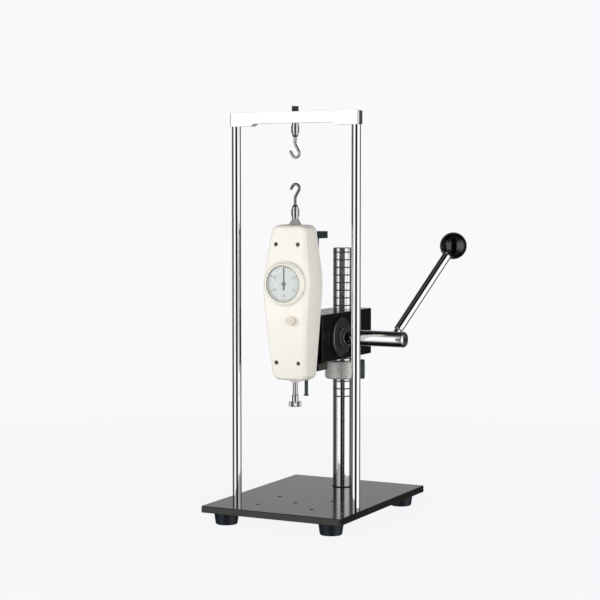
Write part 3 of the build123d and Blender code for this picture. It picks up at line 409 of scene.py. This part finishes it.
# %% Beige knob
# The little mode knob is moulded in a darker beige, with a fine satin skin.
beige, tree, shader = new_finish("beige_moulded_abs", "#DFD6C9", roughness=0.4, ior=1.53)
vary(tree, shader, grain(tree, 3.0), tones=("#D8CDBF", "#E8E0D5"))
relief(tree, shader, grain(tree, 0.5), 0.006, edge_mm=0.3)

# %% Gauge screws
# Brass-coloured plated screws, dull, darkened by painted shade of the wells they sit in.
well_screw, tree, shader = new_finish("yellow_zinc_screw", "#8C8064", metallic=0.8, roughness=0.4)
vary(tree, shader, grain(tree, 0.8), tones=("#4A4432", "#7A7057"))

# %% [markdown]
# ## Finishes on the frame
# The record gives every node a material slot. One table says which finish stands for each slot, and
# a short list of exceptions names the nodes whose real surface differs from the rest of their slot.

# %% Paint the frame
FINISH_OF_SLOT = {
    "base_paint": enamel,
    "foot_rubber": rubber,
    "chrome_plate": hard_chrome,
    "beam_steel": ground_steel,
    "zinc_steel": zinc,
    "dark_steel": black_oxide,
    "nickel_steel": nickel,
    "gear_steel": gear_steel,
    "bush_bronze": bronze,
    "black_anodised": anodised,
    "cover_grey": grey_cover,
    "collar_metal": blasted,
    "ball_bakelite": bakelite,
    "case_cream": case_abs,
    "ring_cream": ring_abs,
    "dial_print": dial_white,
    "window": acrylic,
    "pointer_paint": pointer_paint,
    "knob_beige": beige,
}
FINISH_OF_NODE = {
    "column": column_chrome,
    "lower_hook": hook_steel,
    "slide_arm_bottom": lower_sawn,
    "slide_arm_top": upper_sawn,
    "gauge_shell_screws": well_screw,
    "gauge_top_boss": blasted,
    "collar_thumbscrew": oiled_steel,
}
slot_of = {part["node"]: part["material_slot"] for part in record["subparts"]}
for name, node in nodes.items():
    node.data.materials.clear()
    node.data.materials.append(FINISH_OF_NODE.get(name, FINISH_OF_SLOT[slot_of[name]]))
print("painted", len(slot_of), "nodes")

# %% [markdown]
# ## Modelling helpers
# Turned pieces are built as on a lathe: a circle is extruded ring by ring along its axis, and each
# ring is scaled to its radius. A knurl is then pressed in by pushing out every other point, which
# is what the knurling wheel does to the metal.


# %% Helpers for modelling
def start_piece():
    """Leaves edit mode and deselects everything, so that an operator works on the new piece alone."""
    if bpy.context.object and bpy.context.object.mode != "OBJECT":
        bpy.ops.object.mode_set(mode="OBJECT")
    bpy.ops.object.select_all(action="DESELECT")


def turned(name, rings, centre=(0.0, 0.0), sides=60):
    """A turned piece on an upright axis. Its rings are (radius, height) pairs in mm, end to end."""
    start_piece()
    x, y = (value * MM for value in centre)
    radius, height = rings[0]
    bpy.ops.mesh.primitive_circle_add(
        vertices=sides, radius=radius * MM, fill_type="NGON", location=(x, y, height * MM)
    )
    piece = bpy.context.object
    piece.name = piece.data.name = name
    bpy.ops.object.transform_apply()
    bpy.ops.object.mode_set(mode="EDIT")
    bpy.ops.mesh.select_mode(type="EDGE")
    bpy.ops.mesh.select_all(action="SELECT")
    for next_radius, next_height in rings[1:]:
        rise = (next_height - height) * MM
        bpy.ops.mesh.extrude_edges_move(TRANSFORM_OT_translate={"value": (0.0, 0.0, rise)})
        scale = next_radius / radius
        bpy.ops.transform.resize(value=(scale, scale, 1.0), center_override=(x, y, next_height * MM))
        radius, height = next_radius, next_height
    bpy.ops.mesh.edge_face_add()
    bpy.ops.mesh.select_all(action="SELECT")
    bpy.ops.mesh.normals_make_consistent(inside=False)
    bpy.ops.object.mode_set(mode="OBJECT")
    return piece


def press(piece, picked, depth, centre=(0.0, 0.0)):
    """Moves the picked points out from the upright axis by depth mm, or in where it is negative."""
    x, y = (value * MM for value in centre)
    for vertex in piece.data.vertices:
        out = Vector((vertex.co.x - x, vertex.co.y - y, 0.0))
        if picked(vertex.co, out):
            vertex.co += out.normalized() * depth * MM


def finish_piece(piece, body, finish, replaced=(), smooth_deg=35.0):
    """Shades a piece, paints it, and makes it ride on its body in place of the nodes it stands for."""
    start_piece()
    piece.select_set(True)
    bpy.context.view_layer.objects.active = piece
    bpy.ops.object.transform_apply()
    bpy.ops.object.shade_smooth_by_angle(angle=math.radians(smooth_deg))
    piece.data.materials.clear()
    piece.data.materials.append(finish)
    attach(piece, body)
    if replaced:
        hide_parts(*replaced)
    print(piece.name, "faces:", len(piece.data.polygons))
    return piece


# %% [markdown]
# ## Knurled hook sockets
# Each hook's wire sits in a small turned socket with a diamond knurl for the fingers. The
# diamonds stand 1.2 mm apart, so thirty of them go round. The points of the knurled band are numbered
# round and along the socket, and every other one is pushed out, like the squares of a chess board.

# %% Sockets
SOCKET_NECK = [(4.9, 0.0), (5.2, 0.4), (5.2, 4.2)]
SOCKET_DOME = [(5.3, 14.2), (5.15, 16.0), (4.7, 17.6), (4.0, 19.3), (3.3, 20.5), (2.8, 21.0)]
SOCKET_GRIP_R = 5.75
KNURL_DEPTH = 0.35
KNURL_SIDES = 60
KNURL_ROWS = 15
GRIP_START = 4.5
GRIP_LENGTH = 9.3


def knurled_socket(name, base_z, up):
    """A hook socket from its flat end at base_z towards the wire, up or down."""
    row = GRIP_LENGTH / KNURL_ROWS
    grip = [(SOCKET_GRIP_R, GRIP_START + row * index) for index in range(KNURL_ROWS + 1)]
    rings = SOCKET_NECK + grip + SOCKET_DOME
    socket = turned(name, [(radius, base_z + up * along) for radius, along in rings], sides=KNURL_SIDES)

    def on_tooth(place, out):
        along = up * (place.z / MM - base_z) - GRIP_START
        inside = -0.01 < along < GRIP_LENGTH + 0.01
        turn = round(math.atan2(out.y, out.x) / math.tau * KNURL_SIDES)
        return inside and (turn + round(along / row)) % 2 == 0

    press(socket, on_tooth, KNURL_DEPTH)
    return socket


upper_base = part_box("upper_hook_socket")[1].z / MM
lower_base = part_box("lower_hook_socket")[0].z / MM
socket = knurled_socket("upper_knurled_socket", upper_base, -1)
finish_piece(socket, "upper_hook", nickel, ["upper_hook_socket"], 25.0)
socket = knurled_socket("lower_knurled_socket", lower_base, 1)
finish_piece(socket, "lower_hook", nickel, ["lower_hook_socket"], 25.0)

# %% [markdown]
# ## The flat head
# The pressing end of the measuring rod is a small turned disc. Its rim has a straight knurl, so it
# can be screwed on by hand: every other column of points is pushed in a little.

# %% Flat head
HEAD_SIDES = 96
HEAD_THICKNESS = 7.0
head_low, head_high = (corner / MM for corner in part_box("flat_head"))
head_r = (head_high.x - head_low.x) / 2
head_top = head_low.z + HEAD_THICKNESS
head_rings = [
    (head_r - 0.9, head_low.z),
    (head_r - 0.2, head_low.z + 0.5),
    (head_r, head_low.z + 1.0),
    (head_r, head_top - 1.0),
    (head_r - 0.2, head_top - 0.5),
    (head_r - 0.9, head_top),
]
flat_head = turned("knurled_flat_head", head_rings, sides=HEAD_SIDES)


def in_groove(place, out):
    turn = round(math.atan2(out.y, out.x) / math.tau * HEAD_SIDES)
    return turn % 2 == 0 and out.length > (head_r - 0.5) * MM


press(flat_head, in_groove, -0.35)
finish_piece(flat_head, "gauge_rod", nickel, ["flat_head"], 20.0)

# %% [markdown]
# ## Threads
# The stop screw and the crossbeam's stud are threaded rods. A thread is a wave that climbs one pitch
# in each turn, so each point of a finely ringed bar is moved in by a wave of its height and its turn.


# %% Threaded rods
THREAD_SIDES = 24
RINGS_PER_TURN = 6
END_CHAMFER = 0.3


def threaded(name, low, high, radius, pitch, centre=(0.0, 0.0), head=()):
    """A threaded rod with an optional turned head below it, as (radius, height) rings."""
    steps = round((high - low) / pitch * RINGS_PER_TURN)
    rings = list(head) + [(radius, low + (high - low) * index / steps) for index in range(steps + 1)]
    rings.append((radius - 2 * END_CHAMFER, high + END_CHAMFER))
    piece = turned(name, rings, centre, sides=THREAD_SIDES)
    x, y = (value * MM for value in centre)
    for vertex in piece.data.vertices:
        height = vertex.co.z / MM
        if not low + 0.01 < height < high + 0.01:
            continue
        turn = math.atan2(vertex.co.y - y, vertex.co.x - x) / math.tau
        wave = abs(((height / pitch - turn) % 1.0) * 2 - 1)
        shrink = 1 - wave * 0.5 * pitch / radius
        vertex.co.x = x + (vertex.co.x - x) * shrink
        vertex.co.y = y + (vertex.co.y - y) * shrink
    return piece


THREAD_R = 3.0
THREAD_PITCH = 1.0
STOP_SCREW_HEAD = [(3.2, 0.0), (3.8, 0.5), (3.8, 2.2), (3.4, 2.6)]
screw_low, screw_high = (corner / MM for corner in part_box("stop_screw"))
screw_centre = ((screw_low.x + screw_high.x) / 2, (screw_low.y + screw_high.y) / 2)
screw_head = [(radius, screw_low.z + rise) for radius, rise in STOP_SCREW_HEAD]
thread_low = screw_head[-1][1] + 0.1
thread_high = screw_high.z - END_CHAMFER
stop_screw = threaded(
    "threaded_stop_screw", thread_low, thread_high, THREAD_R, THREAD_PITCH, screw_centre, screw_head
)
finish_piece(stop_screw, "slide", oiled_steel, ["stop_screw"])

stud_low, stud_high = (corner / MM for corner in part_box("beam_stud"))
stud = threaded("threaded_beam_stud", stud_low.z, stud_high.z - END_CHAMFER, THREAD_R, THREAD_PITCH)
finish_piece(stud, "stand", black_oxide, ["beam_stud"])

# %% [markdown]
# ## The cover's rim
# The bearing cover's chamfered edge catches a line of light. A thin torus of bright zinc stands for
# that line as a painted highlight.

# %% Rim highlight
RIM_INSET = 0.45
RIM_R = 0.5
cover_low, cover_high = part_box("bearing_cover_right")
cover_middle = (cover_low + cover_high) / 2
cover_r = (cover_high.z - cover_low.z) / 2
start_piece()
bpy.ops.mesh.primitive_torus_add(
    location=(cover_high.x - RIM_INSET * MM, cover_middle.y, cover_middle.z),
    rotation=(0.0, math.pi / 2, 0.0),
    major_segments=96,
    minor_segments=10,
    major_radius=cover_r - RIM_INSET * MM,
    minor_radius=RIM_R * MM,
)
rim = bpy.context.object
rim.name = rim.data.name = "cover_rim_highlight"
finish_piece(rim, "head", zinc)

# %% [markdown]
# ## The seal round the column
# A thin black ring closes the gap between the column and the plate, and shows as a dark line there.

# %% Seal
SEAL_PROFILE = [(0.9, 0.02), (0.9, 0.9), (0.5, 1.4), (0.05, 1.5)]
plate_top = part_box("base_plate")[1].z / MM
column_low, column_high = (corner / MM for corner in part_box("column"))
column_r = (column_high.x - column_low.x) / 2
column_middle = (0.0, (column_low.y + column_high.y) / 2)
seal_rings = [(column_r + out, plate_top + rise) for out, rise in SEAL_PROFILE]
seal = turned("column_base_seal", seal_rings, column_middle, sides=72)
finish_piece(seal, "stand", rubber)

# %% [markdown]
# ## The dial's print
# The scale runs clockwise from nought at the top to fifty, over three hundred degrees. One mark is
# drawn at the top, and the Spin operator repeats it round the middle. The numbers are text objects
# turned to face forward and made into meshes. All of it lies a twentieth of a millimetre proud.

# %% Dial marks and numbers
face_low, face_high = (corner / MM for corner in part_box("dial_face"))
DIAL_MIDDLE = (0.0, face_low.y, (face_low.z + face_high.z) / 2)
SCALE_TURN = math.radians(300)
MARK_OUTER_R = 25.6
NUMBER_R = 17.8
PRINT_RISE = 0.05


def dial_marks(name, count, length, width):
    """Marks of one length, evenly spaced over the scale's turn."""
    start_piece()
    middle_r = MARK_OUTER_R - length / 2
    place = (0.0, (DIAL_MIDDLE[1] - PRINT_RISE / 2) * MM, (DIAL_MIDDLE[2] + middle_r) * MM)
    bpy.ops.mesh.primitive_cube_add(size=MM, location=place)
    piece = bpy.context.object
    piece.name = piece.data.name = name
    piece.scale = (width, PRINT_RISE, length)
    bpy.ops.object.transform_apply()
    bpy.ops.object.mode_set(mode="EDIT")
    bpy.ops.mesh.select_all(action="SELECT")
    bpy.ops.mesh.spin(
        steps=count - 1,
        dupli=True,
        angle=-SCALE_TURN,
        center=[value * MM for value in DIAL_MIDDLE],
        axis=(0.0, 1.0, 0.0),
    )
    bpy.ops.object.mode_set(mode="OBJECT")
    return piece


def dial_number(value, radius, size):
    """A number that stands upright on the dial at its place on the scale of fifty."""
    start_piece()
    turn = SCALE_TURN * value / 50
    place = (radius * math.sin(turn), DIAL_MIDDLE[1], DIAL_MIDDLE[2] + radius * math.cos(turn))
    bpy.ops.object.text_add(location=[v * MM for v in place], rotation=(math.pi / 2, 0.0, 0.0))
    text = bpy.context.object
    text.data.body = str(value)
    text.data.size = size * MM
    text.data.align_x = "CENTER"
    text.data.align_y = "CENTER"
    text.data.extrude = PRINT_RISE * MM
    text.data.resolution_u = 3
    bpy.ops.object.convert(target="MESH")
    bpy.ops.object.transform_apply()
    return bpy.context.object


prints = [
    dial_marks("small_marks", 101, 2.0, 0.4),
    dial_marks("middle_marks", 11, 3.2, 0.6),
    dial_marks("large_marks", 6, 4.2, 0.9),
]
prints += [dial_number(value, NUMBER_R, 5.6) for value in range(0, 60, 10)]
start_piece()
for piece in prints:
    piece.select_set(True)
bpy.context.view_layer.objects.active = prints[0]
bpy.ops.object.join()
dial_print = bpy.context.object
dial_print.name = dial_print.data.name = "dial_scale_print"
finish_piece(dial_print, "dial", ink)

# %% [markdown]
# ## The studio
# The stand is photographed on pale paper between two large soft boxes. Chrome has no tone of its
# own: its white bands are the two boxes, the black line in its middle is the dark room behind the
# camera, and its dark edges are the walls. So what mirrors see is written as one table of tones, by
# heading round the stand. Camera rays see only a pale backdrop.

# %% Room
PALE = "#F9F9FC"
ROOM_LIGHT = 0.3
CEILING_LIGHT = 0.1
WINDOW_TONE = 1.1
CEILING_TONE = 0.1

# Heading in degrees, from the camera to its right or left, and the tone that a mirror finds there.
MIRROR_TONES = {
    -180: 0.5,
    -160: 0.5,
    -140: 0.1,
    -112: 0.06,
    -86: 0.06,
    -74: 0.3,
    -64: 1.0,
    -28: 1.0,
    -22: 0.1,
    -17: 0.01,
    0: 0.005,
    19: 0.01,
    25: 0.2,
    31: 1.0,
    84: 1.0,
    98: 0.35,
    107: 0.05,
    140: 0.05,
    160: 0.5,
    180: 0.5,
}


def ray_share(tree, *kinds):
    """1 for a ray of one of these kinds, and 0 for any other."""
    path = add_node(tree, "ShaderNodeLightPath")
    share = path.outputs[kinds[0]]
    for kind in kinds[1:]:
        share = add_node(
            tree, "ShaderNodeMath", {"operation": "MAXIMUM"}, _0=share, _1=path.outputs[kind]
        ).outputs[0]
    return share


def tone_by_heading(tree, direction):
    """The mirrored tone for a direction from the stand."""
    from_camera = (0.0, 0.0, math.pi / 2 - CAMERA_HEADING)
    aimed = add_node(tree, "ShaderNodeMapping", Vector=direction, Rotation=from_camera)
    heading = add_node(
        tree, "ShaderNodeTexGradient", {"gradient_type": "RADIAL"}, Vector=aimed.outputs[0]
    )
    ramp = add_node(tree, "ShaderNodeValToRGB", Fac=heading.outputs["Fac"])
    stops = ramp.color_ramp.elements
    stops.remove(stops[1])
    for index, (turn_deg, tone) in enumerate(MIRROR_TONES.items()):
        place = turn_deg / 360 + 0.5
        stop = stops[0] if index == 0 else stops.new(place)
        stop.position = place
        stop.color = (tone, tone, tone, 1.0)
    return ramp.outputs["Color"]


world = bpy.data.worlds.new("pale_studio")
bpy.context.scene.world = world
world.use_nodes = True
tree = world.node_tree
tree.nodes.clear()
place = add_node(tree, "ShaderNodeTexCoord")
height = add_node(tree, "ShaderNodeSeparateXYZ", Vector=place.outputs["Generated"])
steepness = add_node(tree, "ShaderNodeMath", {"operation": "ABSOLUTE"}, _0=height.outputs["Z"])
light_here = add_node(
    tree,
    "ShaderNodeMapRange",
    Value=height.outputs["Z"],
    From_Min=0.2,
    From_Max=0.7,
    To_Min=ROOM_LIGHT,
    To_Max=CEILING_LIGHT,
)
tone_here = add_node(
    tree,
    "ShaderNodeMapRange",
    Value=steepness.outputs[0],
    From_Min=0.32,
    From_Max=0.7,
    To_Min=WINDOW_TONE,
    To_Max=CEILING_TONE,
)
light = add_node(
    tree, "ShaderNodeBackground", Color=linear("#FFFFFF"), Strength=light_here.outputs[0]
)
mirrored = add_node(
    tree,
    "ShaderNodeBackground",
    Color=tone_by_heading(tree, place.outputs["Generated"]),
    Strength=tone_here.outputs[0],
)
backdrop = add_node(tree, "ShaderNodeBackground", Color=linear(PALE), Strength=1.0)
in_mirror = ray_share(tree, "Is Glossy Ray")
room = add_node(
    tree, "ShaderNodeMixShader", _0=in_mirror, _1=light.outputs[0], _2=mirrored.outputs[0]
)
seen = ray_share(tree, "Is Camera Ray", "Is Transmission Ray")
mix = add_node(tree, "ShaderNodeMixShader", _0=seen, _1=room.outputs[0], _2=backdrop.outputs[0])
add_node(tree, "ShaderNodeOutputWorld", Surface=mix.outputs[0])
print("backdrop:", PALE, "and", len(MIRROR_TONES), "mirrored tones")

# %% Floor
# The paper glows evenly in the camera's eye, as overexposed paper does. Only a trace of the stand's
# shadow is left near its feet, and farther out the paper melts into the backdrop.
FLOOR_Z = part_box("foot_front_left")[0].z - 0.1 * MM
HAZE_NEAR = 0.95
HAZE_FROM = 0.35
HAZE_TO = 1.6
FLOOR_SIDE = 40.0
floor_paper, tree, shader = new_finish("pale_floor_paper", "#EDEDEE", roughness=0.9)
glow = add_node(tree, "ShaderNodeEmission", Color=linear(PALE), Strength=1.0)
place = add_node(tree, "ShaderNodeTexCoord")
distance = add_node(tree, "ShaderNodeVectorMath", {"operation": "LENGTH"}, _0=place.outputs["Object"])
haze = add_node(
    tree,
    "ShaderNodeMapRange",
    Value=distance.outputs["Value"],
    From_Min=HAZE_FROM,
    From_Max=HAZE_TO,
    To_Min=HAZE_NEAR,
    To_Max=1.0,
)
seen = ray_share(tree, "Is Camera Ray", "Is Transmission Ray")
share = add_node(tree, "ShaderNodeMath", {"operation": "MULTIPLY"}, _0=seen, _1=haze.outputs[0])
mix = add_node(
    tree, "ShaderNodeMixShader", _0=share.outputs[0], _1=shader.outputs[0], _2=glow.outputs[0]
)
tree.links.new(mix.outputs[0], tree.nodes["Material Output"].inputs["Surface"])

start_piece()
bpy.ops.mesh.primitive_plane_add(size=FLOOR_SIDE, location=(0.0, 0.0, FLOOR_Z))
floor = bpy.context.object
floor.name = "studio_floor"
floor.data.materials.append(floor_paper)
floor.visible_glossy = False
print("floor at", round(FLOOR_Z, 4), "m")

# %% Soft boxes
# Each is a square of light more than twice as wide as the stand is tall. The left one is a little
# stronger. Mirrors don't see the boxes themselves, because the table of tones already holds them.
STAND_MIDDLE = Vector((0.0, 0.07, 0.35))
BOX_SIDE = 1.5
BOX_DISTANCE = 1.3
SOFT_BOXES = {"left_soft_box": (-55, 2.75), "right_soft_box": (55, 2.7)}
for name, (turn_deg, radiance) in SOFT_BOXES.items():
    lamp = bpy.data.lights.new(name, "AREA")
    lamp.shape = "SQUARE"
    lamp.size = BOX_SIDE
    lamp.energy = radiance * math.pi * BOX_SIDE**2
    box = bpy.data.objects.new(name, lamp)
    heading = CAMERA_HEADING + math.radians(turn_deg)
    outwards = Vector((math.sin(heading), -math.cos(heading), 0.0))
    box.location = STAND_MIDDLE + outwards * BOX_DISTANCE
    box.rotation_euler = (-outwards).to_track_quat("-Z", "Y").to_euler()
    box.visible_glossy = False
    bpy.context.scene.collection.objects.link(box)
    print(name, "energy:", round(lamp.energy, 1), "W")
